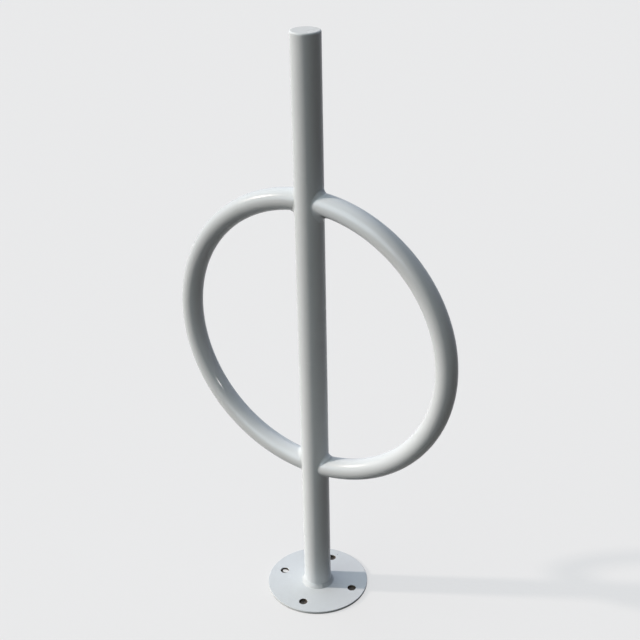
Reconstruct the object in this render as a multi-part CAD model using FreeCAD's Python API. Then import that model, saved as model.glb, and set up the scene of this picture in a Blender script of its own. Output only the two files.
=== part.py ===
"""Hoop bike rack: an upright post with a steel hoop welded to its two sides, on a round bolt-down plate.

Millimetres, +Z up. The origin is the centre of the plate's underside, and the hoop stands in the XZ plane.
"""
import FreeCAD, Part

import math
import os

# Whole rack
RACK_HEIGHT = 1060.0

# Post
POST_DIAMETER = 50.0
POST_WALL = 3.0

# Hoop
HOOP_TUBE_DIAMETER = 38.0
HOOP_TUBE_WALL = 2.5
HOOP_CENTRE_RADIUS = 255.0
HOOP_CENTRE_HEIGHT = 528.0

# Base plate, whose rim lies a set distance outside its circle of bolt holes
PLATE_THICKNESS = 5.0
PLATE_EDGE_ROUND = 0.8
BOLT_CIRCLE_DIAMETER = 140.0
BOLT_CENTRE_TO_RIM = 25.0
BOLT_HOLE_DIAMETER = 16.0
BOLT_HOLE_COUNT = 4
BOLT_HOLE_EDGE_ROUND = 0.5
BOLT_PATTERN_TURN_DEG = 8.0

# Post cap, a disc on the open end of the tube
CAP_THICKNESS = 6.0
CAP_EDGE_ROUND = 3.0

# Vent and drain holes, which let hot air and wash water out of the sealed tubes before coating
HOOP_VENT_DIAMETER = 10.0
PLATE_DRAIN_DIAMETER = 20.0

# Welds
CAP_WELD_DEPTH = 2.0
BASE_WELD_REACH = 5.6
BASE_WELD_RISE = 6.5
BASE_WELD_HOLLOW = 0.5
HOOP_WELD_RADIUS = 9.0
HOOP_WELD_TOE_DEPTH = 0.15

POST_RADIUS = POST_DIAMETER / 2
HOOP_TUBE_RADIUS = HOOP_TUBE_DIAMETER / 2
BOLT_CIRCLE_RADIUS = BOLT_CIRCLE_DIAMETER / 2
PLATE_RADIUS = BOLT_CIRCLE_RADIUS + BOLT_CENTRE_TO_RIM
POST_BOTTOM = PLATE_THICKNESS
POST_TOP = RACK_HEIGHT - CAP_THICKNESS
HOOP_CENTRE = FreeCAD.Vector(0, 0, HOOP_CENTRE_HEIGHT)

ORIGIN = FreeCAD.Vector(0, 0, 0)
UP = FreeCAD.Vector(0, 0, 1)
ACROSS_HOOP = FreeCAD.Vector(0, 1, 0)
TO_THE_RIGHT = FreeCAD.Vector(1, 0, 0)

# How far a drill runs past what it cuts, how near counts as the same place, and points tried on an edge
OUTSIDE_MARGIN = 1.0
SAME_PLACE = 0.01
EDGE_SAMPLES = 5


def upright_cylinder(radius, bottom, top, x=0.0, y=0.0):
    """A solid cylinder along Z between two heights."""
    return Part.makeCylinder(radius, top - bottom, FreeCAD.Vector(x, y, bottom), UP)


def right_side_space():
    """All the room on the +X side of the post's axis, as a box round the hoop."""
    reach = HOOP_CENTRE_RADIUS + HOOP_TUBE_DIAMETER
    depth = 2 * max(POST_DIAMETER, HOOP_TUBE_DIAMETER)
    low_corner = FreeCAD.Vector(0, -depth / 2, HOOP_CENTRE_HEIGHT - reach)
    return Part.makeBox(reach, depth, 2 * reach, low_corner)


def half_ring(tube_radius):
    """The +X half of a solid ring on the hoop's centre line, of any tube radius."""
    ring = Part.makeTorus(HOOP_CENTRE_RADIUS, tube_radius, HOOP_CENTRE, ACROSS_HOOP)
    return ring.common(right_side_space())


def mirrored_to_left(shape):
    """A copy of a shape on the +X side, mirrored across the post's axis to the -X side."""
    return shape.mirror(ORIGIN, TO_THE_RIGHT)


def circle_edges(shape, radius, height):
    """The circular edges of a shape that lie level at a height with a radius."""
    return [
        edge
        for edge in shape.Edges
        if isinstance(edge.Curve, Part.Circle)
        and abs(edge.Curve.Radius - radius) < SAME_PLACE
        and abs(edge.Curve.Center.z - height) < SAME_PLACE
    ]


def bolt_hole_places():
    """The (x, y) of each bolt hole on its circle."""
    places = []
    for index in range(BOLT_HOLE_COUNT):
        angle = math.radians(BOLT_PATTERN_TURN_DEG + index * 360 / BOLT_HOLE_COUNT)
        places.append((BOLT_CIRCLE_RADIUS * math.cos(angle), BOLT_CIRCLE_RADIUS * math.sin(angle)))
    return places


def base_plate():
    """Round steel plate with its bolt holes and a drain hole under the post."""
    plate = upright_cylinder(PLATE_RADIUS, 0, PLATE_THICKNESS)
    rim = circle_edges(plate, PLATE_RADIUS, 0) + circle_edges(plate, PLATE_RADIUS, PLATE_THICKNESS)
    plate = plate.makeFillet(PLATE_EDGE_ROUND, rim)
    drill_bottom = -OUTSIDE_MARGIN
    drill_top = PLATE_THICKNESS + OUTSIDE_MARGIN
    for x, y in bolt_hole_places():
        plate = plate.cut(upright_cylinder(BOLT_HOLE_DIAMETER / 2, drill_bottom, drill_top, x, y))
    mouths = circle_edges(plate, BOLT_HOLE_DIAMETER / 2, PLATE_THICKNESS)
    plate = plate.makeFillet(BOLT_HOLE_EDGE_ROUND, mouths)
    return plate.cut(upright_cylinder(PLATE_DRAIN_DIAMETER / 2, drill_bottom, drill_top))


def post_tube():
    """Upright tube, chamfered outside at the top for the cap's weld, with a vent into each hoop end."""
    tube = upright_cylinder(POST_RADIUS, POST_BOTTOM, POST_TOP)
    tube = tube.makeChamfer(CAP_WELD_DEPTH, circle_edges(tube, POST_RADIUS, POST_TOP))
    bore_radius = POST_RADIUS - POST_WALL
    tube = tube.cut(upright_cylinder(bore_radius, POST_BOTTOM - OUTSIDE_MARGIN, POST_TOP + OUTSIDE_MARGIN))
    for height in hoop_heights_at_post():
        tube = tube.cut(vent_drill(height))
    return tube


def hoop_heights_at_post():
    """The two heights of the hoop's centre line where it meets the post's wall, the lower one first."""
    rise = math.sqrt(HOOP_CENTRE_RADIUS**2 - POST_RADIUS**2)
    return HOOP_CENTRE_HEIGHT - rise, HOOP_CENTRE_HEIGHT + rise


def vent_drill(height):
    """A drill right through the post along X at a height, which opens both hoop ends there."""
    reach = POST_RADIUS + OUTSIDE_MARGIN
    start = FreeCAD.Vector(-reach, 0, height)
    return Part.makeCylinder(HOOP_VENT_DIAMETER / 2, 2 * reach, start, TO_THE_RIGHT)


def post_cap():
    """Flat disc that closes the post, rounded on top and chamfered below for its weld."""
    cap = upright_cylinder(POST_RADIUS, POST_TOP, RACK_HEIGHT)
    cap = cap.makeFillet(CAP_EDGE_ROUND, circle_edges(cap, POST_RADIUS, RACK_HEIGHT))
    return cap.makeChamfer(CAP_WELD_DEPTH, circle_edges(cap, POST_RADIUS, POST_TOP))


def turned_face(edges):
    """A solid turned about Z from the closed outline that edges in the XZ plane make."""
    return Part.Face(Part.Wire(edges)).revolve(ORIGIN, UP, 360)


def weld_cap():
    """Weld that fills the groove between tube and cap, ground flush with the tube."""
    lower_corner = FreeCAD.Vector(POST_RADIUS, 0, POST_TOP - CAP_WELD_DEPTH)
    upper_corner = FreeCAD.Vector(POST_RADIUS, 0, POST_TOP + CAP_WELD_DEPTH)
    root = FreeCAD.Vector(POST_RADIUS - CAP_WELD_DEPTH, 0, POST_TOP)
    return turned_face(
        [
            Part.LineSegment(lower_corner, upper_corner).toShape(),
            Part.LineSegment(upper_corner, root).toShape(),
            Part.LineSegment(root, lower_corner).toShape(),
        ]
    )


def weld_base():
    """Fillet weld all round the foot of the post, a little hollow on its face."""
    corner = FreeCAD.Vector(POST_RADIUS, 0, POST_BOTTOM)
    toe_on_plate = FreeCAD.Vector(POST_RADIUS + BASE_WELD_REACH, 0, POST_BOTTOM)
    toe_on_post = FreeCAD.Vector(POST_RADIUS, 0, POST_BOTTOM + BASE_WELD_RISE)
    chord_middle = (toe_on_plate + toe_on_post) / 2
    inward = (corner - chord_middle).normalize()
    face_middle = chord_middle + inward * BASE_WELD_HOLLOW
    return turned_face(
        [
            Part.LineSegment(corner, toe_on_plate).toShape(),
            Part.Arc(toe_on_plate, face_middle, toe_on_post).toShape(),
            Part.LineSegment(toe_on_post, corner).toShape(),
        ]
    )


def hoop_half():
    """The right half of the hoop: a rolled tube whose two ends are coped to the post's wall."""
    tube = half_ring(HOOP_TUBE_RADIUS).cut(half_ring(HOOP_TUBE_RADIUS - HOOP_TUBE_WALL))
    return tube.cut(upright_cylinder(POST_RADIUS, 0, RACK_HEIGHT))


def joint_edges(shape, post_radius, tube_radius):
    """The edges of a shape that lie both on the post's wall and on the hoop's tube."""
    found = []
    for edge in shape.Edges:
        points = edge.discretize(EDGE_SAMPLES)
        from_wall = [abs(math.hypot(p.x, p.y) - post_radius) for p in points]
        from_tube = []
        for p in points:
            outwards = math.hypot(p.x, p.z - HOOP_CENTRE_HEIGHT) - HOOP_CENTRE_RADIUS
            from_tube.append(abs(math.hypot(outwards, p.y) - tube_radius))
        if max(from_wall + from_tube) < SAME_PLACE:
            found.append(edge)
    return found


def hoop_welds():
    """The welds round the two ends of the right half of the hoop, the lower end first.

    The rounding is rolled between surfaces that lie a little inside the real ones, so that each weld meets
    the tubes at a small toe angle. Where the tubes are nearly as wide as each other it thins out at their
    sides, and one end can then hold two beads.
    """
    inner_post_radius = POST_RADIUS - HOOP_WELD_TOE_DEPTH
    inner_tube_radius = HOOP_TUBE_RADIUS - HOOP_WELD_TOE_DEPTH
    inner_post = upright_cylinder(inner_post_radius, POST_BOTTOM, POST_TOP)
    inner_shape = inner_post.fuse(half_ring(inner_tube_radius))
    corners = joint_edges(inner_shape, inner_post_radius, inner_tube_radius)
    rounded = inner_shape.makeFillet(HOOP_WELD_RADIUS, corners).common(right_side_space())
    beads = rounded.cut(upright_cylinder(POST_RADIUS, 0, RACK_HEIGHT)).cut(half_ring(HOOP_TUBE_RADIUS)).Solids
    lower_beads = [bead for bead in beads if bead.CenterOfMass.z < HOOP_CENTRE_HEIGHT]
    upper_beads = [bead for bead in beads if bead.CenterOfMass.z > HOOP_CENTRE_HEIGHT]
    return Part.makeCompound(lower_beads), Part.makeCompound(upper_beads)


def hoop_side():
    """The right half of the hoop and its two welds, by node name with the side left open."""
    lower_weld, upper_weld = hoop_welds()
    return {
        "hoop_half_{side}": hoop_half(),
        "weld_hoop_{side}_bottom": lower_weld,
        "weld_hoop_{side}_top": upper_weld,
    }


def all_parts():
    """Every piece of the rack, by node name."""
    parts = {
        "base_plate": base_plate(),
        "post_tube": post_tube(),
        "post_cap": post_cap(),
        "weld_base": weld_base(),
        "weld_cap": weld_cap(),
    }
    for open_name, shape in hoop_side().items():
        parts[open_name.format(side="right")] = shape
        parts[open_name.format(side="left")] = mirrored_to_left(shape)
    return parts


os.makedirs("parts", exist_ok=True)
for name, shape in all_parts().items():
    shape.exportStep(os.path.join("parts", name + ".step"))
    print(f"{name}: {len(shape.Solids)} solid, valid {shape.isValid()}, volume {shape.Volume:.1f}")
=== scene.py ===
"""The looks of a hoop bike rack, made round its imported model.

The rack is welded from steel tube and plate and finished in one light grey powder coat. The nodes whose shape
is right keep their meshes and get their coat here. The welds are modelled here, with their ripples, their
lumps and their toes, and stand for the plain ones. Lengths are in metres, +Z is up, and the hoop stands in
the XZ plane.
"""

import logging
import math
from dataclasses import dataclass, field
from enum import Enum
from typing import Callable

import bmesh
import bpy
from bpy.types import Material, Node, NodeSocket, NodeTree, Object
from mathutils import Matrix, Vector


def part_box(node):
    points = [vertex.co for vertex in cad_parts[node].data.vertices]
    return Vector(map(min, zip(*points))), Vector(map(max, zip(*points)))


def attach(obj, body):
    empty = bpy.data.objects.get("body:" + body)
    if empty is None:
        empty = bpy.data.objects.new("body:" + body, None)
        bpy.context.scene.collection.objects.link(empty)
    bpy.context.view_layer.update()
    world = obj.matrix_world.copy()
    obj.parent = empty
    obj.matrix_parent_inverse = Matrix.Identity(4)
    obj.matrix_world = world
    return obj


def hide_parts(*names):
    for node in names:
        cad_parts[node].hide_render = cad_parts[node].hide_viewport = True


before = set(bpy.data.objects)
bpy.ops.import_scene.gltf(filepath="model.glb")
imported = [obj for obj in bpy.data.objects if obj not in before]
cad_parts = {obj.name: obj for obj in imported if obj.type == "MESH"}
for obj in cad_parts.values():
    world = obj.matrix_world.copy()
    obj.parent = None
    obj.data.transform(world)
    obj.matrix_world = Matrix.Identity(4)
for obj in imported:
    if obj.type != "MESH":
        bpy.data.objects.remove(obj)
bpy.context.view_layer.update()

LOG = logging.getLogger("hoop_bike_rack")
BODY = "root"
MM = 0.001

# Corners that are nearer to each other than this are one.
SAME_PLACE = 0.001 * MM

# What lies on the film at a place: the share of it that shows there, and its colour.
Mark = tuple[NodeSocket, str]


class Steel(Enum):
    """What the coat lies on, which decides how its surface waves."""

    TUBE = "tube"
    CAP = "cap"
    PLATE = "plate"
    WELD = "weld"


class Side(Enum):
    """The side of the post that a hoop half is on, by its sign along X."""

    LEFT = -1
    RIGHT = 1


class Level(Enum):
    """The end of a hoop half, by its sign from the hoop's middle height."""

    BOTTOM = -1
    TOP = 1


def linear_rgb(srgb_hex: str) -> tuple[float, float, float]:
    """Turns a written colour to the linear one that the renderer works in.

    Args:
        srgb_hex: The colour as "#RRGGBB" in sRGB.

    Returns:
        Red, green and blue, linear, from 0 to 1.
    """
    channels = []
    for start in (1, 3, 5):
        value = int(srgb_hex[start : start + 2], 16) / 255
        channels.append(value / 12.92 if value <= 0.04045 else ((value + 0.055) / 1.055) ** 2.4)
    return channels[0], channels[1], channels[2]


def linear_rgba(srgb_hex: str) -> tuple[float, float, float, float]:
    """The linear colour of a written one, with full alpha."""
    return (*linear_rgb(srgb_hex), 1.0)


def direction(azimuth_deg: float, elevation_deg: float) -> Vector:
    """The way from the origin to a place far off.

    Args:
        azimuth_deg: Where the place stands, from +X towards +Y.
        elevation_deg: How high it stands over the floor.

    Returns:
        The direction, one metre long.
    """
    azimuth = math.radians(azimuth_deg)
    elevation = math.radians(elevation_deg)
    flat = math.cos(elevation)
    return Vector((flat * math.cos(azimuth), flat * math.sin(azimuth), math.sin(elevation)))


def add_node(
    tree: NodeTree, kind: str, sockets: dict[str | int, object] | None = None, **settings: object
) -> Node:
    """Adds one node with its settings, its socket values and its incoming links.

    Args:
        tree: The node tree that gets the node.
        kind: Blender's name for the kind of node.
        sockets: For each input, by name or number, a value or the output that feeds it.
        **settings: The node's own settings, by name.

    Returns:
        The new node.
    """
    node = tree.nodes.new(kind)
    for setting, value in settings.items():
        setattr(node, setting, value)
    for key, value in (sockets or {}).items():
        if isinstance(value, NodeSocket):
            tree.links.new(value, node.inputs[key])
        else:
            node.inputs[key].default_value = value
    return node


def empty_material(name: str) -> tuple[Material, NodeTree]:
    """Makes a new material with no node in it yet.

    Args:
        name: The material's name.

    Returns:
        The material and its node tree.
    """
    material = bpy.data.materials.new(name)
    material.use_nodes = True
    material.node_tree.nodes.clear()
    return material, material.node_tree


def by_height(
    tree: NodeTree, place: NodeSocket, none_at: float, all_at: float, most: float = 1.0
) -> NodeSocket:
    """A share that goes by how high a place is.

    Args:
        tree: The material's node tree.
        place: The piece's own coordinates.
        none_at: The height at which the share is 0.
        all_at: The height at which it is at its most.
        most: What it is there.

    Returns:
        The share.
    """
    height = add_node(tree, "ShaderNodeSeparateXYZ", {"Vector": place}).outputs["Z"]
    sockets = {"Value": height, "From Min": none_at, "From Max": all_at, "To Max": most}
    return add_node(tree, "ShaderNodeMapRange", sockets).outputs["Result"]


def by_distance(
    tree: NodeTree,
    place: NodeSocket,
    middle: tuple[float, float, float],
    none_at: float,
    all_at: float = 0.0,
    most: float = 1.0,
    curve: str = "SMOOTHSTEP",
) -> NodeSocket:
    """A share that goes by how far a place is from a middle.

    Args:
        tree: The material's node tree.
        place: The coordinates that it reads.
        middle: Where the share is at its most.
        none_at: The distance at which the share is 0.
        all_at: The distance at which it is at its most.
        most: What it is there.
        curve: Blender's name for how it goes from the one to the other.

    Returns:
        The share.
    """
    away = add_node(tree, "ShaderNodeVectorMath", {0: place, 1: middle}, operation="DISTANCE")
    sockets = {"Value": away.outputs["Value"], "From Min": none_at, "From Max": all_at, "To Max": most}
    return add_node(tree, "ShaderNodeMapRange", sockets, interpolation_type=curve).outputs["Result"]


def cover(piece: Object, material: Material) -> None:
    """Gives a piece one material all over, in the slots it has or in a new one.

    Args:
        piece: The piece to cover.
        material: What covers it.
    """
    if not piece.material_slots:
        piece.data.materials.append(material)
    for material_slot in piece.material_slots:
        material_slot.material = material


def deselect_everything() -> None:
    """Leaves nothing selected, so that the next operator acts on its own piece alone."""
    bpy.ops.object.select_all(action="DESELECT")


def pick(piece: Object) -> None:
    """Selects one piece alone and makes it the active one.

    Args:
        piece: The piece to select.
    """
    deselect_everything()
    piece.select_set(True)
    bpy.context.view_layer.objects.active = piece


def select_places(piece: Object, wanted: Callable[[Vector], bool]) -> None:
    """Selects the vertices of the piece in edit mode whose places are wanted, and no others.

    Args:
        piece: The piece that is being edited.
        wanted: Says of a place whether its vertex is taken.
    """
    bpy.ops.mesh.select_mode(type="VERT")
    bpy.ops.mesh.select_all(action="DESELECT")
    mesh = bmesh.from_edit_mesh(piece.data)
    for vertex in mesh.verts:
        vertex.select = wanted(vertex.co)
    mesh.select_flush(True)
    bmesh.update_edit_mesh(piece.data)


def push_out(piece: Object, wanted: Callable[[Vector], bool], height: float) -> None:
    """Pushes some vertices of a piece out along their normals.

    Args:
        piece: The piece to edit.
        wanted: Says of a place whether its vertex is moved.
        height: How far the vertices are moved.
    """
    pick(piece)
    bpy.ops.object.mode_set(mode="EDIT")
    select_places(piece, wanted)
    bpy.ops.transform.shrink_fatten(value=height)
    bpy.ops.object.mode_set(mode="OBJECT")


def apply_modifiers(piece: Object) -> None:
    """Applies every modifier of a piece, in order.

    Args:
        piece: The piece that has the modifiers.
    """
    pick(piece)
    for modifier in list(piece.modifiers):
        bpy.ops.object.modifier_apply(modifier=modifier.name)


def settle_in_mesh(piece: Object) -> None:
    """Moves a piece's place, turn and scale into its mesh, so that its object sits at the origin."""
    pick(piece)
    bpy.ops.object.transform_apply(location=True, rotation=True, scale=True)


def point_faces_outwards(piece: Object) -> None:
    """Merges doubled vertices of a closed piece and turns all its faces outwards.

    Args:
        piece: The closed piece.
    """
    pick(piece)
    bpy.ops.object.mode_set(mode="EDIT")
    bpy.ops.mesh.select_all(action="SELECT")
    bpy.ops.mesh.remove_doubles(threshold=SAME_PLACE)
    bpy.ops.mesh.normals_make_consistent(inside=False)
    bpy.ops.object.mode_set(mode="OBJECT")


@dataclass(frozen=True)
class PowderCoat:
    """Polyester powder, sprayed on dry and stoved until it flows into one even, semi-gloss film.

    It gives the eye a soft, slightly cool grey with a broad highlight. The film dries with a fine orange
    peel, and lies thicker and glossier in some places than in others.

    Attributes:
        steel: What the coat lies on.
        title: The coat's name, with which its material's name starts.
        thick_film_colour: Its colour where the film is thick.
        thin_film_colour: Its colour where the film is thin.
        dust_colour: The colour of the street dust on it.
        glossy: How rough a thick film is.
        satin: How rough a thin film is.
        film_span: The two shares of film between which it turns from satin to glossy.
        ior: How strongly the film bends light, as polyester does.
        sheen_level: How strongly the film mirrors, where 0.5 is what its IOR alone gives.
        peel_spacing: From one hump of the orange peel to the next.
        peel_height: How high its humps are.
        film_spacing: From one thick place in the film to the next.
        dust_reach: How high up the dust is splashed.
        dust_share: How much of the coat it hides on the ground.
        dust_spacing: From one patch of dust to the next.
    """

    steel: Steel
    title: str = "powder_coat"
    thick_film_colour: str = "#D0D5D8"
    thin_film_colour: str = "#CACFD2"
    dust_colour: str = "#A9A395"
    glossy: float = 0.20
    satin: float = 0.29
    film_span: tuple[float, float] = (0.3, 0.7)
    ior: float = 1.5
    sheen_level: float = 0.15
    peel_spacing: float = 3.2 * MM
    peel_height: float = 0.010 * MM
    film_spacing: float = 75 * MM
    dust_reach: float = 70 * MM
    dust_share: float = 0.16
    dust_spacing: float = 14 * MM

    def wave(self) -> tuple[float, float]:
        """How the steel itself waves under the coat.

        Returns:
            The spacing and the height of the waves, in metres.
        """
        return {
            Steel.TUBE: (34 * MM, 0.035 * MM),
            Steel.CAP: (34 * MM, 0.035 * MM),
            Steel.PLATE: (55 * MM, 0.080 * MM),
            Steel.WELD: (9 * MM, 0.060 * MM),
        }[self.steel]

    def material(self) -> Material:
        """Makes the coat as a material that reads the piece's own place.

        Returns:
            The new material.
        """
        material, tree = empty_material(f"{self.title}_on_{self.steel.value}")
        place = add_node(tree, "ShaderNodeTexCoord").outputs["Object"]
        film = add_node(
            tree,
            "ShaderNodeTexNoise",
            {"Vector": place, "Scale": 1 / self.film_spacing, "Detail": 3.0, "Roughness": 0.55},
        ).outputs["Fac"]
        colour = linear_rgba(self.thin_film_colour)
        for share, mark_colour in [(film, self.thick_film_colour), *self.marks(tree, place)]:
            colour = add_node(
                tree,
                "ShaderNodeMix",
                {"Factor": share, "A": colour, "B": linear_rgba(mark_colour)},
                data_type="RGBA",
            ).outputs["Result"]
        gloss = add_node(
            tree,
            "ShaderNodeMapRange",
            {
                "Value": film,
                "From Min": self.film_span[0],
                "From Max": self.film_span[1],
                "To Min": self.satin,
                "To Max": self.glossy,
            },
        )
        coat = add_node(
            tree,
            "ShaderNodeBsdfPrincipled",
            {
                "Base Color": colour,
                "Metallic": self.metallic_glint(tree, place),
                "Roughness": gloss.outputs["Result"],
                "IOR": self.ior,
                "Specular IOR Level": self.sheen_level,
                "Normal": self.relief(tree, place),
            },
        )
        add_node(tree, "ShaderNodeOutputMaterial", {"Surface": coat.outputs["BSDF"]})
        return material

    def marks(self, tree: NodeTree, place: NodeSocket) -> list[Mark]:
        """What lies on the film, lowest first, which is dust alone on most pieces."""
        return [(self.dust(tree, place), self.dust_colour)]

    def metallic_glint(self, tree: NodeTree, place: NodeSocket) -> NodeSocket | float:
        """How metallic the coat is, for a painted glint, which is none on most pieces."""
        return 0.0

    def dust(self, tree: NodeTree, place: NodeSocket) -> NodeSocket:
        """Street dust that rain splashes up, more of it low down and in patches.

        Args:
            tree: The material's node tree.
            place: The piece's own coordinates.

        Returns:
            The share of dust, from 0 to 1.
        """
        low_down = by_height(tree, place, self.dust_reach, 0.0, self.dust_share)
        patches = add_node(
            tree,
            "ShaderNodeTexNoise",
            {"Vector": place, "Scale": 1 / self.dust_spacing, "Detail": 5.0, "Roughness": 0.7},
        )
        return add_node(
            tree, "ShaderNodeMath", {0: low_down, 1: patches.outputs["Fac"]}, operation="MULTIPLY"
        ).outputs["Value"]

    def relief(self, tree: NodeTree, place: NodeSocket) -> NodeSocket:
        """The waves of the steel with the orange peel of the coat on them.

        A real peel has about 1.5 mm from hump to hump. It is drawn at twice that, so that it shows.

        Args:
            tree: The material's node tree.
            place: The piece's own coordinates.

        Returns:
            The normal that the coat is lit with.
        """
        normal: dict[str, NodeSocket] = {}
        for spacing, height, detail, roughness in (
            (*self.wave(), 1.0, 0.5),
            (self.peel_spacing, self.peel_height, 2.0, 0.4),
        ):
            humps = {"Vector": place, "Scale": 1 / spacing, "Detail": detail, "Roughness": roughness}
            noise = add_node(tree, "ShaderNodeTexNoise", humps)
            raised = {"Strength": 1.0, "Distance": height, "Height": noise.outputs["Fac"], **normal}
            normal["Normal"] = add_node(tree, "ShaderNodeBump", raised).outputs["Normal"]
        return normal["Normal"]


@dataclass(frozen=True)
class PlateCoat(PowderCoat):
    """The same coat on the base plate, with painted shade inside its bolt holes.

    Inside the holes the walls are painted a dark brown, a painted shade that makes them look dark from above.

    Attributes:
        top: The height of the plate's top.
        reach: The radius of the plate.
        lip: How far below the top the painted shade starts in a hole.
        hole_shade_colour: The colour of the painted shade in the holes.
        chip_place: Where the coat has a small chip, as (x, y).
        chip_radius: The size of the chip.
        chip_core: The share of that size within which no coat is left.
        chip_colour: The colour of the primed steel in the chip.
    """

    thick_film_colour: str = "#D1D6D9"
    thin_film_colour: str = "#CCD1D4"
    top: float = 0.0
    reach: float = 0.0
    lip: float = 0.6 * MM
    hole_shade_colour: str = "#5F574E"
    chip_place: tuple[float, float] = (-0.0044, 0.0827)
    chip_radius: float = 1.1 * MM
    chip_core: float = 0.6
    chip_colour: str = "#7F8084"

    def marks(self, tree: NodeTree, place: NodeSocket) -> list[Mark]:
        """Dust, the painted shade inside the bolt holes, and the chip.

        Args:
            tree: The material's node tree.
            place: The piece's own coordinates.

        Returns:
            The marks, lowest first.
        """
        # The walls of the bolt holes, under the lip, get the painted shade.
        below_lip = by_height(tree, place, self.top - self.lip, self.top - 2 * self.lip)
        level_place = add_node(
            tree, "ShaderNodeVectorMath", {0: place, 1: (1.0, 1.0, 0.0)}, operation="MULTIPLY"
        ).outputs[0]
        from_middle = add_node(tree, "ShaderNodeVectorMath", {0: level_place}, operation="LENGTH")
        inside_rim = add_node(
            tree,
            "ShaderNodeMath",
            {0: from_middle.outputs["Value"], 1: self.reach - 2 * self.lip},
            operation="LESS_THAN",
        )
        in_hole = add_node(
            tree, "ShaderNodeMath", {0: below_lip, 1: inside_rim.outputs[0]}, operation="MULTIPLY"
        )
        chip_middle = (*self.chip_place, 0.0)
        chip_core = self.chip_radius * self.chip_core
        in_chip = by_distance(tree, level_place, chip_middle, self.chip_radius, chip_core, curve="LINEAR")
        return [
            *super().marks(tree, place),
            (in_hole.outputs[0], self.hole_shade_colour),
            (in_chip, self.chip_colour),
        ]


@dataclass(frozen=True)
class PaintedShadingCoat(PowderCoat):
    """The same coat, with light and shade painted into its colour, drifting towards one place.

    Attributes:
        painted_shading_place: Where the painted light and shade is strongest.
        painted_shading_reach: How far from there the painted light and shade ends.
        painted_shading_colour: The painted colour there.
    """

    painted_shading_place: tuple[float, float, float] = (0.0, 0.0, 0.0)
    painted_shading_reach: float = 130 * MM
    painted_shading_colour: str = "#D4DBE0"

    def marks(self, tree: NodeTree, place: NodeSocket) -> list[Mark]:
        """Dust, and the painted light and shade."""
        drift = by_distance(tree, place, self.painted_shading_place, self.painted_shading_reach)
        return [*super().marks(tree, place), (drift, self.painted_shading_colour)]


@dataclass(frozen=True)
class PostCoat(PaintedShadingCoat):
    """The coat on the post, a shade darker overall and painted lighter towards the foot, as painted bounce
    light from the ground.
    """

    title: str = "painted_bounce_light_powder_coat"
    thick_film_colour: str = "#CDD2D5"
    thin_film_colour: str = "#C7CCCF"
    # Painted bounce light: the post is lightest near this low place.
    painted_shading_place: tuple[float, float, float] = (0.0, 0.0, 0.160)
    painted_shading_reach: float = 520 * MM
    painted_shading_colour: str = "#D7DCDF"


@dataclass(frozen=True)
class HoopCoat(PaintedShadingCoat):
    """The coat on the right half of the hoop, painted lighter and bluer near its top as painted light."""

    title: str = "painted_light_powder_coat"
    painted_shading_place: tuple[float, float, float] = (0.060, 0.0, 0.775)


@dataclass(frozen=True)
class ShadedGlintCoat(PaintedShadingCoat):
    """The coat on the left half, painted darker at its upper left as painted shade.

    Lower down it has one slim, near-white metallic streak, a painted glint.

    Attributes:
        glint_place: The middle of the painted glint.
        glint_turn_deg: How far the glint's length is turned down from +X, about Y.
        glint_length: Half the glint's length.
        glint_width: Half the glint's width.
        glint_core: The share of that size within which the glint is strongest.
        glint_colour: The near-white colour of the painted glint.
        glint_share: How metallic and near-white the glint is along its middle.
    """

    title: str = "shaded_glint_powder_coat"
    # Painted shade: the coat is darker towards this upper left place.
    painted_shading_place: tuple[float, float, float] = (-0.180, 0.0, 0.708)
    painted_shading_reach: float = 330 * MM
    painted_shading_colour: str = "#BDC2C5"
    glint_place: tuple[float, float, float] = (-0.1970, -0.0116, 0.3912)
    glint_turn_deg: float = 53.1
    glint_length: float = 21 * MM
    glint_width: float = 1.6 * MM
    glint_core: float = 0.1
    glint_colour: str = "#F2EFEC"
    glint_share: float = 0.9

    def metallic_glint(self, tree: NodeTree, place: NodeSocket) -> NodeSocket:
        """How metallic the painted glint is at a place, most along its middle.

        Args:
            tree: The material's node tree.
            place: The piece's own coordinates.

        Returns:
            The share of the painted glint, from 0 to 1.
        """
        within = add_node(
            tree,
            "ShaderNodeMapping",
            {
                "Vector": place,
                "Location": self.glint_place,
                "Rotation": (0.0, math.radians(self.glint_turn_deg), 0.0),
                "Scale": (self.glint_length, self.glint_width, self.glint_width),
            },
            vector_type="TEXTURE",
        )
        return by_distance(tree, within.outputs[0], (0.0, 0.0, 0.0), 1.0, self.glint_core, self.glint_share)

    def marks(self, tree: NodeTree, place: NodeSocket) -> list[Mark]:
        """Dust, the painted shade, and the painted glint."""
        return [*super().marks(tree, place), (self.metallic_glint(tree, place), self.glint_colour)]


@dataclass(frozen=True)
class CapCoat(PowderCoat):
    """The same coat on the post's cap, whose level top holds a film of grey dust that dulls its blue.

    Attributes:
        top: The height of the cap's top.
        settled: How deep under the top the dust ends.
        settled_core: The share of that depth within which it lies thickest.
        settled_share: How much of the coat it hides.
    """

    title: str = "dusty_powder_coat"
    top: float = 0.0
    settled: float = 0.6 * MM
    settled_core: float = 0.1
    settled_share: float = 0.24

    def marks(self, tree: NodeTree, place: NodeSocket) -> list[Mark]:
        """Splashed dust, and the dust that has settled on the level top.

        Args:
            tree: The material's node tree.
            place: The piece's own coordinates.

        Returns:
            The marks, lowest first.
        """
        core = self.top - self.settled_core * self.settled
        level = by_height(tree, place, self.top - self.settled, core, self.settled_share)
        return [*super().marks(tree, place), (level, self.dust_colour)]


@dataclass(frozen=True)
class FootWeldCoat(PowderCoat):
    """The same coat on the foot's weld, rougher, and painted darker all over as painted shade that tones down
    its lit face.
    """

    title: str = "rough_painted_shade_powder_coat"
    thick_film_colour: str = "#C2C7CA"
    thin_film_colour: str = "#B9BEC1"
    glossy: float = 0.34
    satin: float = 0.44


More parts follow.
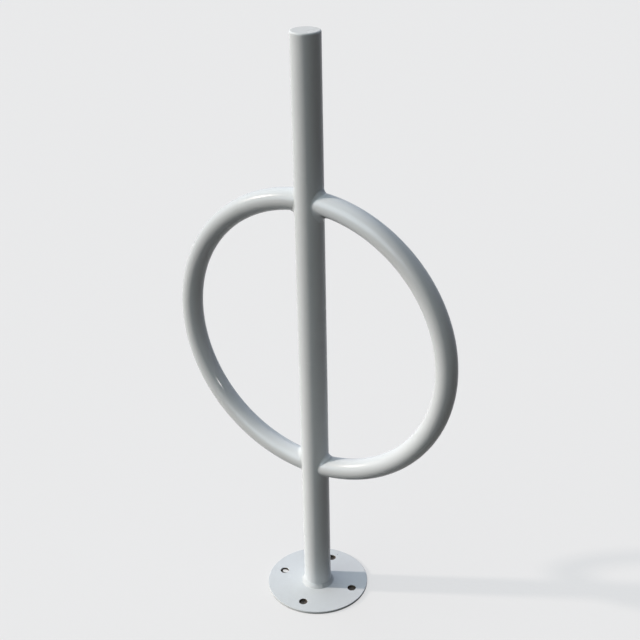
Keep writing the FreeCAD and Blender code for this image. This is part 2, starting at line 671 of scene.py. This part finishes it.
@dataclass
class WeldBead:
    """What every weld of the rack shares: ripples, lumps, and the flap disc that dressed them.

    Attributes:
        name: The name of the piece.
        node: The plain weld that the piece stands for.
        ripple_pitch: From one ripple of the bead to the next.
        ripple_height: How far a ripple stands out before it is dressed.
        ripple_lag: How far a ripple's ends trail behind its middle, in ripples.
        lump_spacing: From one lump of the bead to the next.
        lump_height: How far the lumps go in and out.
        steps_per_ripple: Mesh columns to each ripple.
        toe_width: How wide the edge of the bead is that keeps its place.
        smoothing: How many times the flap disc goes over it.
        smoothing_share: How much of a bump each time takes off.
        crease_deg: The angle over which an edge of the bead still shows.
    """

    name: str
    node: str
    ripple_pitch: float = 2.4 * MM
    ripple_height: float = 0.30 * MM
    ripple_lag: float = 1.2
    lump_spacing: float = 11 * MM
    lump_height: float = 0.5 * MM
    steps_per_ripple: int = 4
    toe_width: float = 1.3 * MM
    smoothing: int = 2
    smoothing_share: float = 0.5
    crease_deg: float = 50.0

    def wall_distance(self, place: Vector) -> float:
        """How far a place is from the nearer of the two steels that the bead joins."""
        raise NotImplementedError

    def travel(self, place: Vector) -> float:
        """How far along the bead a place is, from 0 to 1."""
        raise NotImplementedError

    def across(self, place: Vector) -> float:
        """How far a place is from the middle of the bead's face, where 1 is its toe."""
        raise NotImplementedError

    def ripple_count(self) -> int:
        """The number of ripples in the whole bead."""
        raise NotImplementedError

    def on_crest(self, place: Vector) -> bool:
        """Says whether a place is on the crest of a ripple, each of which is a crescent across the face.

        Args:
            place: A place on the bead's mesh.

        Returns:
            True on a crest that is well clear of both toes.
        """
        if self.wall_distance(place) < self.toe_width / 2:
            return False
        lag = self.ripple_lag * self.across(place) ** 2
        phase = (self.travel(place) * self.ripple_count() + lag) % 1.0
        return phase < 1 / self.steps_per_ripple

    def claim_primitive(self) -> Object:
        """Names the primitive that was just added, and settles its place in its mesh.

        Returns:
            The primitive, as the start of the bead.
        """
        piece = bpy.context.active_object
        piece.name = self.name
        piece.data.name = self.name
        settle_in_mesh(piece)
        return piece

    def raise_ripples(self, piece: Object) -> None:
        """Pushes the crests of the ripples out of the bead's face."""
        push_out(piece, self.on_crest, self.ripple_height)

    def dress(self, piece: Object) -> None:
        """Gives the bead its lumps and then smooths it as a flap disc does, with its toes left in place.

        Args:
            piece: The bead.
        """
        face = piece.vertex_groups.new(name="face")
        for vertex in piece.data.vertices:
            share = min(max(self.wall_distance(vertex.co) / self.toe_width, 0.0), 1.0)
            face.add([vertex.index], share, "REPLACE")
        lumps = bpy.data.textures.new(f"{self.name}_lumps", "CLOUDS")
        lumps.noise_scale = self.lump_spacing
        lumps.noise_depth = 1
        displace = piece.modifiers.new("lumps", "DISPLACE")
        displace.texture = lumps
        displace.texture_coords = "LOCAL"
        displace.strength = self.lump_height
        displace.mid_level = 0.5
        displace.vertex_group = face.name
        smooth = piece.modifiers.new("flap_disc", "SMOOTH")
        smooth.factor = self.smoothing_share
        smooth.iterations = self.smoothing
        smooth.vertex_group = face.name
        apply_modifiers(piece)
        bpy.ops.object.shade_smooth_by_angle(angle=math.radians(self.crease_deg))

    def stand_in(self, piece: Object, coat: Material) -> None:
        """Dresses the bead, coats it and puts it in the place of its plain node.

        Args:
            piece: The bead.
            coat: Its coat.
        """
        self.dress(piece)
        cover(piece, coat)
        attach(piece, BODY)
        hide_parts(self.node)
        LOG.info("%s: %d vertices, stands for %s", piece.name, len(piece.data.vertices), self.node)


@dataclass
class RoundWeld(WeldBead):
    """A weld that runs level round the post.

    Attributes:
        post_radius: The outside radius of the post.
        outline: The bead's face in section, from its lower toe to its upper one, as (radius, height).
        root_depth: How far the hidden back of the bead lies in the post's wall.
        shelf_height: The height of the level steel under the bead, or None if it lies on the post alone.
        stop_turn_deg: Where the bead ends over its own start, from +X towards +Y.
        stop_reach: How far that lap reaches to each side.
        stop_height: How far it stands out of the rest.
    """

    post_radius: float = 0.0
    outline: list[tuple[float, float]] = field(default_factory=list)
    root_depth: float = 1.0 * MM
    shelf_height: float | None = None
    stop_turn_deg: float = 0.0
    stop_reach: float = 2.8 * MM
    stop_height: float = 0.5 * MM

    def ripple_count(self) -> int:
        """The number of ripples in the whole bead."""
        return round(2 * math.pi * self.outline[0][0] / self.ripple_pitch)

    def travel(self, place: Vector) -> float:
        """How far round the post a place is, from 0 to 1."""
        return math.atan2(place.y, place.x) / (2 * math.pi) % 1.0

    def across(self, place: Vector) -> float:
        """How far a place is from the middle height of the bead, where 1 is a toe."""
        low, high = self.outline[0][1], self.outline[-1][1]
        return (place.z - (low + high) / 2) / ((high - low) / 2)

    def wall_distance(self, place: Vector) -> float:
        """How far a place stands out of the post's wall, or over the shelf if that is less.

        Args:
            place: A place on the bead's mesh.

        Returns:
            The distance, in metres.
        """
        from_post = math.hypot(place.x, place.y) - self.post_radius
        if self.shelf_height is None:
            return from_post
        return min(from_post, place.z - self.shelf_height)

    def in_stop(self, place: Vector) -> bool:
        """Says whether a place is on the lap where the bead ends.

        Args:
            place: A place on the bead's mesh.

        Returns:
            True on the lap, well clear of both toes.
        """
        turn = math.radians(self.stop_turn_deg)
        middle = Vector((math.cos(turn), math.sin(turn))) * place.xy.length
        return (place.xy - middle).length < self.stop_reach and self.wall_distance(place) > self.toe_width / 2

    def raise_stop(self, piece: Object) -> None:
        """Pushes out the lap where the bead ends over its own start."""
        push_out(piece, self.in_stop, self.stop_height)

    def build(self) -> Object:
        """Models the bead: a ring is drawn at the lower toe, extruded up the outline, and closed at the back.

        Returns:
            The bead as a closed piece.
        """
        deselect_everything()
        columns = self.ripple_count() * self.steps_per_ripple
        radius, height = self.outline[0]
        bpy.ops.mesh.primitive_circle_add(vertices=columns, radius=radius, location=(0.0, 0.0, height))
        piece = self.claim_primitive()
        bpy.ops.object.mode_set(mode="EDIT")
        bpy.ops.mesh.select_mode(type="VERT")
        bpy.ops.mesh.select_all(action="SELECT")
        root_radius = self.post_radius - self.root_depth
        rows = [*self.outline[1:], (root_radius, self.outline[-1][1]), (root_radius, self.outline[0][1])]
        for next_radius, next_height in rows:
            bpy.ops.mesh.extrude_region_move(
                TRANSFORM_OT_translate={"value": (0.0, 0.0, next_height - height)},
            )
            scale = next_radius / radius
            bpy.ops.transform.resize(value=(scale, scale, 1.0), center_override=(0.0, 0.0, next_height))
            radius, height = next_radius, next_height
        bpy.ops.mesh.select_all(action="DESELECT")
        bpy.ops.mesh.select_mode(type="EDGE")
        bpy.ops.mesh.select_non_manifold()
        bpy.ops.mesh.bridge_edge_loops()
        bpy.ops.object.mode_set(mode="OBJECT")
        point_faces_outwards(piece)
        return piece


@dataclass
class SaddleWeld(WeldBead):
    """A weld round the coped end of a hoop half, where it meets the post.

    A ball that rolls in the corner between post and hoop tube marks the bead's face. No one operator draws
    that face, so each ring of a primitive torus is laid on the ball's arc at its place.

    Attributes:
        post_radius: The outside radius of the post.
        tube_radius: The outside radius of the hoop's tube.
        hoop_radius: The radius of the hoop's centre line.
        hoop_height: The height of the hoop's middle.
        ball_radius: The radius of the ball that rolls in the corner.
        toe_depth: How far under the steel the ball's path lies, so that the toes meet it at a small angle.
        root_depth: How far inside the steel the hidden back of the bead lies.
        face_rows: Mesh rows across the face.
    """

    post_radius: float = 0.0
    tube_radius: float = 0.0
    hoop_radius: float = 0.0
    hoop_height: float = 0.0
    ball_radius: float = 9.0 * MM
    toe_depth: float = 0.10 * MM
    root_depth: float = 0.8 * MM
    face_rows: int = 11

    def bead_radius(self) -> float:
        """About half the bead's thickness, which is a third of the radius of the ball that marks it."""
        return self.ball_radius / 3

    def ripple_count(self) -> int:
        """The number of ripples in the whole bead."""
        return round(2 * math.pi * (self.tube_radius + self.bead_radius()) / self.ripple_pitch)

    def tube_angle(self, place: Vector) -> float:
        """The angle of a place round the hoop's tube, from 0 on the hoop's outside."""
        outwards = math.hypot(place.x, place.z - self.hoop_height) - self.hoop_radius
        return math.atan2(place.y, outwards)

    def travel(self, place: Vector) -> float:
        """How far round the hoop's tube a place is, from 0 to 1."""
        return self.tube_angle(place) / (2 * math.pi) % 1.0

    def across(self, place: Vector) -> float:
        """How much nearer a place is to one steel than to the other, where 1 is a toe."""
        from_post, from_tube = self.distances(place)
        return (from_post - from_tube) / max(from_post + from_tube, self.toe_depth)

    def distances(self, place: Vector) -> tuple[float, float]:
        """How far a place stands out of each of the two tubes.

        Args:
            place: A place on the bead's mesh.

        Returns:
            How far it stands out of the post's wall, and out of the hoop's tube.
        """
        from_post = math.hypot(place.x, place.y) - self.post_radius
        outwards = math.hypot(place.x, place.z - self.hoop_height) - self.hoop_radius
        return from_post, math.hypot(outwards, place.y) - self.tube_radius

    def wall_distance(self, place: Vector) -> float:
        """How far a place stands out of the nearer of the two tubes."""
        return min(self.distances(place))

    def hoop_place(self, x_over_radius: float, tube_angle: float, reach: float) -> Vector:
        """A place by its turn along the bottom right of the hoop, its angle round the tube and its reach.

        Args:
            x_over_radius: The sine of the angle along the hoop from its lowest point.
            tube_angle: The angle round the tube, from 0 on the hoop's outside.
            reach: How far the place is from the hoop's centre line.

        Returns:
            The place, in metres.
        """
        out = self.hoop_radius + reach * math.cos(tube_angle)
        drop = math.sqrt(1 - x_over_radius**2)
        return Vector((out * x_over_radius, reach * math.sin(tube_angle), self.hoop_height - out * drop))

    def section(self, tube_angle: float) -> list[Vector]:
        """The bead's section at one place round the hoop's tube.

        Args:
            tube_angle: The angle round the tube, from 0 on the hoop's outside.

        Returns:
            The points of the face from the post's toe to the hoop's, and then the hidden root.
        """
        post = self.post_radius - self.toe_depth
        tube = self.tube_radius - self.toe_depth
        ball = self.ball_radius
        sideways = (tube + ball) * math.sin(tube_angle)
        out = self.hoop_radius + (tube + ball) * math.cos(tube_angle)
        turn = math.sqrt((post + ball) ** 2 - sideways**2) / out
        centre = self.hoop_place(turn, tube_angle, tube + ball)
        on_tube = self.hoop_place(turn, tube_angle, tube)
        to_axis = Vector((centre.x, centre.y, 0.0)).normalized()
        on_post = centre - to_axis * ball
        from_centre = (on_post - centre).normalized()
        swing = from_centre.rotation_difference((on_tube - centre).normalized())
        face = []
        for row in range(self.face_rows):
            part = row / (self.face_rows - 1)
            turned = from_centre.copy()
            turned.rotate(Matrix.Identity(3).to_quaternion().slerp(swing, part))
            face.append(centre + turned * ball)
        corner_x = math.sqrt(max(post**2 - (tube * math.sin(tube_angle)) ** 2, 0.0))
        corner_turn = corner_x / (self.hoop_radius + tube * math.cos(tube_angle))
        corner = self.hoop_place(corner_turn, tube_angle, tube)
        inwards = (corner - centre).normalized()
        return [*face, corner + inwards * self.root_depth]

    def build(self) -> Object:
        """Models the bead at the lower right of the hoop from a primitive torus.

        Returns:
            The bead as a closed piece.
        """
        deselect_everything()
        columns = self.ripple_count() * self.steps_per_ripple
        rows = self.face_rows + 1
        bpy.ops.mesh.primitive_torus_add(
            major_segments=columns,
            minor_segments=rows,
            major_radius=self.tube_radius,
            minor_radius=self.bead_radius(),
            location=(self.post_radius, 0.0, self.hoop_height - self.hoop_radius),
            rotation=(0.0, math.radians(90), 0.0),
        )
        piece = self.claim_primitive()
        for column in range(columns):
            for row, place in enumerate(self.section(2 * math.pi * column / columns)):
                piece.data.vertices[column * rows + row].co = place
        point_faces_outwards(piece)
        return piece

    def take_to(self, piece: Object, side: Side, level: Level) -> None:
        """Mirrors the bead from the lower right of the hoop to its own end.

        Args:
            piece: The bead at the lower right of the hoop.
            side: The side of the post that the bead is for.
            level: The end of the hoop half that the bead is for.
        """
        pick(piece)
        bpy.ops.object.mode_set(mode="EDIT")
        bpy.ops.mesh.select_all(action="SELECT")
        bpy.ops.transform.resize(
            value=(side.value, 1.0, -level.value), center_override=(0.0, 0.0, self.hoop_height)
        )
        bpy.ops.object.mode_set(mode="OBJECT")
        point_faces_outwards(piece)


def carry_over(node: str, coat: Material) -> None:
    """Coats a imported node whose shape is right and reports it."""
    cover(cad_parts[node], coat)
    LOG.info("%s: kept as packed, coated with %s", node, coat.name)


@dataclass
class Foot:
    """The round plate that is bolted down, and the weld that holds the post on it.

    Attributes:
        weld_rise: How far the weld reaches up the post.
        weld_reach: How far the weld reaches out over the plate.
        weld_hollow: How far the middle of the weld's face lies under the line from toe to toe.
        toe_depth: How far the weld's toes lie under the steel.
        ripple_height: How far its ripples stand out before they are dressed.
        lump_height: How far its lumps go in and out.
        weld_stop_deg: Where the weld ends over its own start, from +X towards +Y.
        face_rows: Mesh rows across the weld's face.
    """

    weld_rise: float = 6.5 * MM
    weld_reach: float = 5.6 * MM
    weld_hollow: float = 0.5 * MM
    toe_depth: float = 0.12 * MM
    ripple_height: float = 0.35 * MM
    lump_height: float = 0.7 * MM
    weld_stop_deg: float = -40.0
    face_rows: int = 11

    def weld_outline(self, post_radius: float, plate_top: float) -> list[tuple[float, float]]:
        """The weld's face in section, a little hollow.

        Args:
            post_radius: The outside radius of the post.
            plate_top: The height of the plate's top.

        Returns:
            The face from the toe on the plate to the toe on the post, as (radius, height).
        """
        outline = []
        for row in range(self.face_rows):
            part = row / (self.face_rows - 1)
            sag = self.weld_hollow * math.sin(math.pi * part) / math.sqrt(2)
            radius = post_radius - self.toe_depth + (self.weld_reach + self.toe_depth) * (1 - part) - sag
            height = plate_top - self.toe_depth + (self.weld_rise + self.toe_depth) * part - sag
            outline.append((radius, height))
        return outline

    def build(self, plate_coat: Material, weld_coat: Material) -> None:
        """Coats the plate, and models and coats the weld round the post's foot.

        Args:
            plate_coat: The plate's coat.
            weld_coat: The weld's coat.
        """
        carry_over("base_plate", plate_coat)
        plate_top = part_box("base_plate")[1].z
        post_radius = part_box("post_tube")[1].x
        weld = RoundWeld(
            name="post_foot_weld",
            node="weld_base",
            post_radius=post_radius,
            outline=self.weld_outline(post_radius, plate_top),
            shelf_height=plate_top,
            stop_turn_deg=self.weld_stop_deg,
            ripple_height=self.ripple_height,
            lump_height=self.lump_height,
        )
        piece = weld.build()
        weld.raise_ripples(piece)
        weld.raise_stop(piece)
        weld.stand_in(piece, weld_coat)


@dataclass
class Post:
    """The upright tube, the disc that closes it, and the ground-down weld between them.

    Attributes:
        band_height: The height of the band that the grinder left round the joint.
        band_proud: How far that band stands out of the tube.
        toe_depth: How far the band's edges lie under the steel.
        band_rows: Mesh rows over the band.
        lump_spacing: From one low swell that the grinder left to the next.
        lump_height: How far the swells go in and out.
    """

    band_height: float = 6.4 * MM
    band_proud: float = 0.05 * MM
    toe_depth: float = 0.05 * MM
    band_rows: int = 9
    lump_spacing: float = 16 * MM
    lump_height: float = 0.05 * MM

    def band_outline(self, post_radius: float, joint_height: float) -> list[tuple[float, float]]:
        """The ground weld's face in section, a low swell.

        Args:
            post_radius: The outside radius of the post.
            joint_height: The height of the joint between tube and cap.

        Returns:
            The face from its lower edge to its upper one, as (radius, height).
        """
        outline = []
        for row in range(self.band_rows):
            part = row / (self.band_rows - 1)
            swell = (self.band_proud + self.toe_depth) * math.sin(math.pi * part) - self.toe_depth
            outline.append((post_radius + swell, joint_height + self.band_height * (part - 0.5)))
        return outline

    def build(self, tube_coat: Material, cap_coat: Material, weld_coat: Material) -> None:
        """Coats the tube and its cap, and models and coats the ground weld between them.

        Args:
            tube_coat: The tube's coat.
            cap_coat: The cap's coat.
            weld_coat: The weld's coat.
        """
        carry_over("post_tube", tube_coat)
        carry_over("post_cap", cap_coat)
        post_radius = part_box("post_tube")[1].x
        weld = RoundWeld(
            name="cap_joint_weld",
            node="weld_cap",
            lump_spacing=self.lump_spacing,
            lump_height=self.lump_height,
            toe_width=self.toe_depth,
            post_radius=post_radius,
            outline=self.band_outline(post_radius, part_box("post_tube")[1].z),
        )
        weld.stand_in(weld.build(), weld_coat)


@dataclass
class Hoop:
    """The ring of rolled tube in two halves, and the four welds that hold it to the post.

    Each weld was laid by hand, so each has its own size.

    Attributes:
        lump_height: How far the lumps of the welds go in and out.
        ball_radii: For each end, the radius of the ball that fits its weld.
    """

    lump_height: float = 0.35 * MM
    ball_radii: dict[tuple[Side, Level], float] = field(
        default_factory=lambda: {
            (Side.LEFT, Level.BOTTOM): 9.0 * MM,
            (Side.LEFT, Level.TOP): 7.5 * MM,
            (Side.RIGHT, Level.BOTTOM): 7.5 * MM,
            (Side.RIGHT, Level.TOP): 11.5 * MM,
        }
    )

    def weld(self, side: Side, level: Level) -> SaddleWeld:
        """The weld at one end of one half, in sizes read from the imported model.

        Args:
            side: The half that it holds.
            level: The end of that half.

        Returns:
            The weld, not yet modelled.
        """
        low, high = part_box("hoop_half_right")
        tube_radius = (high.y - low.y) / 2
        end = f"{side.name.lower()}_{level.name.lower()}"
        return SaddleWeld(
            name=f"hoop_joint_weld_{end}",
            node=f"weld_hoop_{end}",
            lump_height=self.lump_height,
            ball_radius=self.ball_radii[side, level],
            post_radius=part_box("post_tube")[1].x,
            tube_radius=tube_radius,
            hoop_radius=(high.z - low.z) / 2 - tube_radius,
            hoop_height=(high.z + low.z) / 2,
        )

    def build(self, coats: dict[Side, type[PaintedShadingCoat]]) -> None:
        """Coats the two halves, and models, dresses and coats the weld at each of their ends.

        Args:
            coats: The coat of each half and of its welds.
        """
        for side, coat in coats.items():
            carry_over(f"hoop_half_{side.name.lower()}", coat(Steel.TUBE).material())
            weld_coat = coat(Steel.WELD).material()
            for level in Level:
                weld = self.weld(side, level)
                piece = weld.build()
                weld.raise_ripples(piece)
                weld.take_to(piece, side, level)
                weld.stand_in(piece, weld_coat)


@dataclass(frozen=True)
class PaleFloor:
    """A wide, matt, pale floor with bare ground under the plate, but none under one bolt hole.

    It looks pale, and most of that look is a glow that only the camera and mirror-like rays see, so that the
    floor throws little light up at the object. The rest is a matt coat that keeps the object's shadow.

    Attributes:
        glow: The colour of the glow.
        matt: The colour of the matt coat under it.
        dim_matt: The colour that the floor throws up at the object.
        ground: The colour of the bare ground's light grit.
        ground_dark: The colour of its dark grit.
        grit_spacing: From one patch of grit to the next.
        ground_radius: How far the bare ground reaches under the plate.
        open_place: The middle of the place where the pale floor shows through a bolt hole.
        open_radius: How far from there it shows.
        width: How wide the floor is.
        drop: How far the floor lies under the plate.
    """

    glow: str = "#CCCCCC"
    matt: str = "#7C7C7C"
    dim_matt: str = "#5E5A55"
    ground: str = "#77706A"
    ground_dark: str = "#4C4844"
    grit_spacing: float = 3 * MM
    ground_radius: float = 89 * MM
    open_place: tuple[float, float, float] = (-0.0706, -0.0042, 0.0)
    open_radius: float = 5.8 * MM
    width: float = 240.0
    drop: float = 0.15 * MM

    def build(self) -> None:
        """Lays the floor just under the plate."""
        deselect_everything()
        bpy.ops.mesh.primitive_plane_add(size=self.width, location=(0.0, 0.0, -self.drop))
        floor = bpy.context.active_object
        floor.name = "pale_floor"
        settle_in_mesh(floor)
        cover(floor, self.material())
        LOG.info("pale_floor: %.0f m wide, part of the stage", self.width)

    def material(self) -> Material:
        """Makes the floor's material.

        Returns:
            The new material.
        """
        material, tree = empty_material("matt_pale_floor")
        glow = add_node(tree, "ShaderNodeEmission", {"Color": linear_rgba(self.glow), "Strength": 1.0})
        matt = add_node(tree, "ShaderNodeBsdfDiffuse", {"Color": linear_rgba(self.matt)})
        looks = add_node(tree, "ShaderNodeAddShader", {0: glow.outputs[0], 1: matt.outputs[0]})
        dim = add_node(tree, "ShaderNodeBsdfDiffuse", {"Color": linear_rgba(self.dim_matt)})
        sockets = {0: seen_rays(tree), 1: dim.outputs[0], 2: looks.outputs[0]}
        floor = add_node(tree, "ShaderNodeMixShader", sockets)
        place = add_node(tree, "ShaderNodeTexCoord").outputs["Object"]
        ground = add_node(tree, "ShaderNodeBsdfDiffuse", {"Color": self.ground_colour(tree, place)})
        sockets = {0: self.on_ground(tree, place), 1: floor.outputs[0], 2: ground.outputs[0]}
        whole = add_node(tree, "ShaderNodeMixShader", sockets)
        add_node(tree, "ShaderNodeOutputMaterial", {"Surface": whole.outputs[0]})
        return material

    def ground_colour(self, tree: NodeTree, place: NodeSocket) -> NodeSocket:
        """The colour of the bare ground, light and dark by its grit.

        Args:
            tree: The floor's node tree.
            place: The floor's own coordinates.

        Returns:
            The colour.
        """
        sockets = {"Vector": place, "Scale": 1 / self.grit_spacing, "Detail": 4.0}
        grit = add_node(tree, "ShaderNodeTexNoise", sockets).outputs["Fac"]
        sockets = {"Factor": grit, "A": linear_rgba(self.ground_dark), "B": linear_rgba(self.ground)}
        return add_node(tree, "ShaderNodeMix", sockets, data_type="RGBA").outputs["Result"]

    def on_ground(self, tree: NodeTree, place: NodeSocket) -> NodeSocket:
        """Where the ground is bare: under the plate, and away from the open place.

        Args:
            tree: The floor's node tree.
            place: The floor's own coordinates.

        Returns:
            1 on bare ground, and 0 elsewhere.
        """
        both: dict[int, NodeSocket] = {}
        for socket, middle, radius, test in (
            (0, (0.0, 0.0, 0.0), self.ground_radius, "LESS_THAN"),
            (1, self.open_place, self.open_radius, "GREATER_THAN"),
        ):
            away = add_node(tree, "ShaderNodeVectorMath", {0: place, 1: middle}, operation="DISTANCE")
            sockets = {0: away.outputs["Value"], 1: radius}
            both[socket] = add_node(tree, "ShaderNodeMath", sockets, operation=test).outputs[0]
        return add_node(tree, "ShaderNodeMath", both, operation="MULTIPLY").outputs[0]


def seen_rays(tree: NodeTree) -> NodeSocket:
    """1 for a ray from the camera, or off or through something shiny, and 0 for the rest.

    Args:
        tree: The node tree that asks.

    Returns:
        The output that says so.
    """
    rays = add_node(tree, "ShaderNodeLightPath")
    seen = rays.outputs["Is Camera Ray"]
    for ray in ("Is Glossy Ray", "Is Transmission Ray"):
        sockets = {0: seen, 1: rays.outputs[ray]}
        seen = add_node(tree, "ShaderNodeMath", sockets, operation="MAXIMUM").outputs[0]
    return seen


@dataclass(frozen=True)
class Lamp:
    """A lamp so far away that its light is even.

    Attributes:
        name: The lamp's name.
        colour: Its colour.
        strength: Its strength, in watts per square metre.
        width_deg: How wide it looks, which decides how soft its shadows are.
        azimuth_deg: Where it stands, from +X towards +Y.
        elevation_deg: How high it stands over the floor.
        lit: Whether matt surfaces take its light.
        mirrored: Whether glossy surfaces mirror it.
        hung_at: How far from the origin its mark hangs, which changes nothing in its light.
    """

    name: str
    colour: str
    strength: float
    width_deg: float
    azimuth_deg: float
    elevation_deg: float
    lit: bool = True
    mirrored: bool = True
    hung_at: float = 4.0

    def build(self) -> None:
        """Hangs the lamp, turned to the object."""
        towards_lamp = direction(self.azimuth_deg, self.elevation_deg)
        deselect_everything()
        bpy.ops.object.light_add(type="SUN", location=towards_lamp * self.hung_at)
        lamp = bpy.context.active_object
        lamp.name = self.name
        lamp.rotation_euler = towards_lamp.to_track_quat("Z", "Y").to_euler()
        lamp.data.color = linear_rgb(self.colour)
        lamp.data.energy = self.strength
        lamp.data.angle = math.radians(self.width_deg)
        lamp.visible_diffuse = self.lit
        lamp.visible_glossy = self.mirrored
        LOG.info("%s: %.2f W/m2", self.name, self.strength)


@dataclass(frozen=True)
class Studio:
    """The light: a low key from the left, and wide, cool, soft lights high up, left and behind.

    A wide one in front of the rack lights nothing and is only mirrored, as open sky is. The one behind is not
    mirrored, as the pale backdrop takes its place there.

    Attributes:
        lamps: Each lamp, with its name, colour, strength, width, azimuth and elevation.
        backdrop: The colour that the world looks.
        fill: The colour that it lights with.
    """

    lamps: tuple[Lamp, ...] = (
        Lamp("key", "#FFF2E8", 2.84, 3.0, 206.75, 27.0),
        Lamp("wide_left", "#F5FEFD", 2.11, 100.0, 212.0, 45.0),
        Lamp("wide_behind", "#D3DFFF", 1.17, 100.0, 120.0, 45.0, mirrored=False),
        Lamp("sky_ahead", "#E1F1FF", 4.8, 50.0, 255.0, 20.0, lit=False),
    )
    backdrop: str = "#E9E9E9"
    fill: str = "#323436"

    def build(self) -> None:
        """Hangs the lamps, and sets the world's fill and its pale look."""
        for lamp in self.lamps:
            lamp.build()
        world = bpy.data.worlds.new("pale_backdrop")
        bpy.context.scene.world = world
        world.use_nodes = True
        tree = world.node_tree
        tree.nodes.clear()
        fill = add_node(tree, "ShaderNodeBackground", {"Color": linear_rgba(self.fill), "Strength": 1.0})
        looks = add_node(tree, "ShaderNodeBackground", {"Color": linear_rgba(self.backdrop), "Strength": 1.0})
        sockets = {0: seen_rays(tree), 1: fill.outputs[0], 2: looks.outputs[0]}
        whole = add_node(tree, "ShaderNodeMixShader", sockets)
        add_node(tree, "ShaderNodeOutputWorld", {"Surface": whole.outputs[0]})
        bpy.context.scene.view_settings.view_transform = "Standard"


@dataclass(frozen=True)
class Viewpoint:
    """The camera, at the photograph's viewing angle: held at eye height, a little to the right of the rack.

    Attributes:
        place: Where it is held.
        heading_deg: Where it looks, from +Y towards -X.
        pitch_deg: How far it looks down.
        roll_deg: How far its right side is held up.
        lens_mm: Its focal length.
        sensor_mm: The width of its sensor.
        sees_from: How near it sees.
        sees_to: How far it sees.
    """

    place: tuple[float, float, float] = (0.93951, -1.50960, 1.47298)
    heading_deg: float = 31.4502
    pitch_deg: float = 27.0522
    roll_deg: float = -1.1249
    lens_mm: float = 65.669
    sensor_mm: float = 36.0
    sees_from: float = 0.05
    sees_to: float = 400.0

    def build(self) -> None:
        """Sets the camera up and makes it the scene's own."""
        roll = math.radians(self.roll_deg)
        ahead = direction(self.heading_deg + 90, -self.pitch_deg)
        level_right = direction(self.heading_deg, 0.0)
        level_up = level_right.cross(ahead)
        right = level_right * math.cos(roll) + level_up * math.sin(roll)
        upwards = level_up * math.cos(roll) - level_right * math.sin(roll)
        turn = Matrix((right, upwards, -ahead)).transposed()
        deselect_everything()
        bpy.ops.object.camera_add(location=self.place)
        camera = bpy.context.active_object
        camera.name = "viewpoint"
        camera.rotation_euler = turn.to_euler()
        camera.data.sensor_fit = "HORIZONTAL"
        camera.data.sensor_width = self.sensor_mm
        camera.data.lens = self.lens_mm
        camera.data.clip_start = self.sees_from
        camera.data.clip_end = self.sees_to
        bpy.context.scene.camera = camera


def main() -> None:
    """Builds the rack's pieces in order, then the stage, the light and the camera."""
    logging.basicConfig(level=logging.INFO, format="%(message)s")
    tube_coat = PostCoat(Steel.TUBE).material()
    plate_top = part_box("base_plate")[1]
    plate_coat = PlateCoat(Steel.PLATE, top=plate_top.z, reach=plate_top.x).material()
    cap_coat = CapCoat(Steel.CAP, top=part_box("post_cap")[1].z).material()
    Foot().build(plate_coat, FootWeldCoat(Steel.WELD).material())
    Post().build(tube_coat, cap_coat, tube_coat)
    # The left half gets painted shade and a painted glint, the right half painted light.
    Hoop().build({Side.LEFT: ShadedGlintCoat, Side.RIGHT: HoopCoat})
    PaleFloor().build()
    Studio().build()
    Viewpoint().build()


if __name__ == "__main__":
    main()
